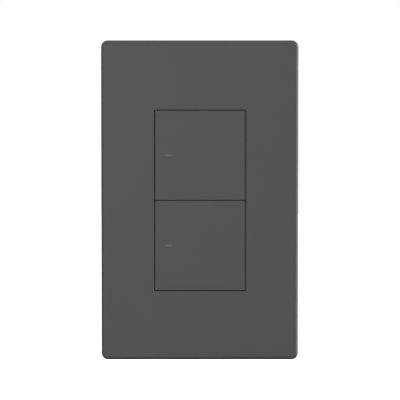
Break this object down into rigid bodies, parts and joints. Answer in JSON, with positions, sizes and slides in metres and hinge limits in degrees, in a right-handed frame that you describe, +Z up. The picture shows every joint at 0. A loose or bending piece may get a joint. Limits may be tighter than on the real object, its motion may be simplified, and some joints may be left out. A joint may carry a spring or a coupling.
{
  "type": "rocker wall switch",
  "caption": "Flush wall switch with square rocking keys in a screwless rectangular cover, on a steel strap with a rear housing and wire terminals.",
  "frame": {"origin": "middle of the mounting screw pattern, on the wall's surface behind the cover plate", "axes": "+X to the right as seen from the room, +Y into the wall, +Z up along the plate's long side"},
  "size_m": [0.074, 0.041, 0.12],
  "materials": {
    "grey_cover_plastic": "fine satin texture",
    "grey_key_plastic": "fine satin texture",
    "black_plastic": "matte",
    "zinc_steel": "zinc plated",
    "green_steel": "green passivated",
    "retainer_fibre": "soft matte",
    "board_green": "solder mask",
    "connector_black": "matte",
    "shield_can": "tinned",
    "chip_epoxy": "matte",
    "partition_sheet": "matte sheet",
    "ferrite": "sintered",
    "winding_tape": "polyester tape",
    "film_case": "glossy",
    "varistor_blue": "dipped epoxy",
    "fuse_body": "ceramic",
    "capacitor_sleeve": "shrink sleeve",
    "brass": "plain",
    "housing_plastic": "fine spark texture",
    "terminal_plastic": "satin",
    "smoke_lens": "translucent smoke",
    "spring_steel": "bright wire",
    "plunger_plastic": "smooth",
    "led_case": "clear resin",
    "relay_case": "satin"
  },
  "bodies": {
    "chassis": {"wall_plate": "grey_cover_plastic", "sub_plate": "black_plastic", "plate_screws": "zinc_steel", "yoke": "zinc_steel", "ground_screw": "green_steel", "mounting_screws": "zinc_steel", "screw_retainers": "retainer_fibre", "button_frame": "black_plastic", "control_board": "board_green", "board_pins": "connector_black", "board_socket": "connector_black", "radio_module": "shield_can", "microcontroller": "chip_epoxy", "insulating_partition": "partition_sheet", "power_board": "board_green", "transformer_core": "ferrite", "transformer_bobbin": "connector_black", "transformer_winding": "winding_tape", "suppression_capacitor": "film_case", "varistor": "varistor_blue", "fuse": "fuse_body", "choke": "ferrite", "bridge_rectifier": "chip_epoxy", "reservoir_capacitor": "capacitor_sleeve", "output_capacitor": "capacitor_sleeve", "clamp_plates": "zinc_steel", "terminal_screws": "brass", "rear_housing": "housing_plastic", "housing_screws": "zinc_steel", "return_spring_upper_top": "spring_steel", "return_spring_upper_bottom": "spring_steel", "tact_switch_upper": "connector_black", "status_led_upper": "led_case", "relay_upper": "relay_case", "return_spring_lower_top": "spring_steel", "return_spring_lower_bottom": "spring_steel", "tact_switch_lower": "connector_black", "status_led_lower": "led_case", "relay_lower": "relay_case", "terminal_block_line": "terminal_plastic", "contact_line": "brass", "terminal_block_neutral": "terminal_plastic", "contact_neutral": "brass", "terminal_block_load_1": "terminal_plastic", "contact_load_1": "brass", "terminal_block_load_2": "terminal_plastic", "contact_load_2": "brass"},
    "upper_key": {"button_upper": "grey_key_plastic", "light_pipe_upper": "smoke_lens"},
    "upper_plunger": {"tact_plunger_upper": "plunger_plastic"},
    "lower_key": {"button_lower": "grey_key_plastic", "light_pipe_lower": "smoke_lens"},
    "lower_plunger": {"tact_plunger_lower": "plunger_plastic"}
  },
  "joints": [
    {"name": "upper_key_hinge", "type": "hinge", "parent": "chassis", "child": "upper_key", "pos_m": [0.014, -0.0034, 0.01693], "axis": [0, 0, -1], "range_deg": [0, 2], "stiffness_Nm_per_rad": 0.5, "springref_deg": -2.86, "deforming": ["return_spring_upper_top", "return_spring_upper_bottom"]},
    {"name": "lower_key_hinge", "type": "hinge", "parent": "chassis", "child": "lower_key", "pos_m": [0.014, -0.0034, -0.01693], "axis": [0, 0, -1], "range_deg": [0, 2], "stiffness_Nm_per_rad": 0.5, "springref_deg": -2.86, "deforming": ["return_spring_lower_top", "return_spring_lower_bottom"]},
    {"name": "upper_plunger_slide", "type": "slide", "parent": "chassis", "child": "upper_plunger", "axis": [0, 1, 0], "range_m": [0, 0.0006]},
    {"name": "lower_plunger_slide", "type": "slide", "parent": "chassis", "child": "lower_plunger", "axis": [0, 1, 0], "range_m": [0, 0.0006]}
  ],
  "couplings": [
    {"joint": "upper_plunger_slide", "follows": "upper_key_hinge", "m_per_rad": 0.014},
    {"joint": "lower_plunger_slide", "follows": "lower_key_hinge", "m_per_rad": 0.014}
  ]
}
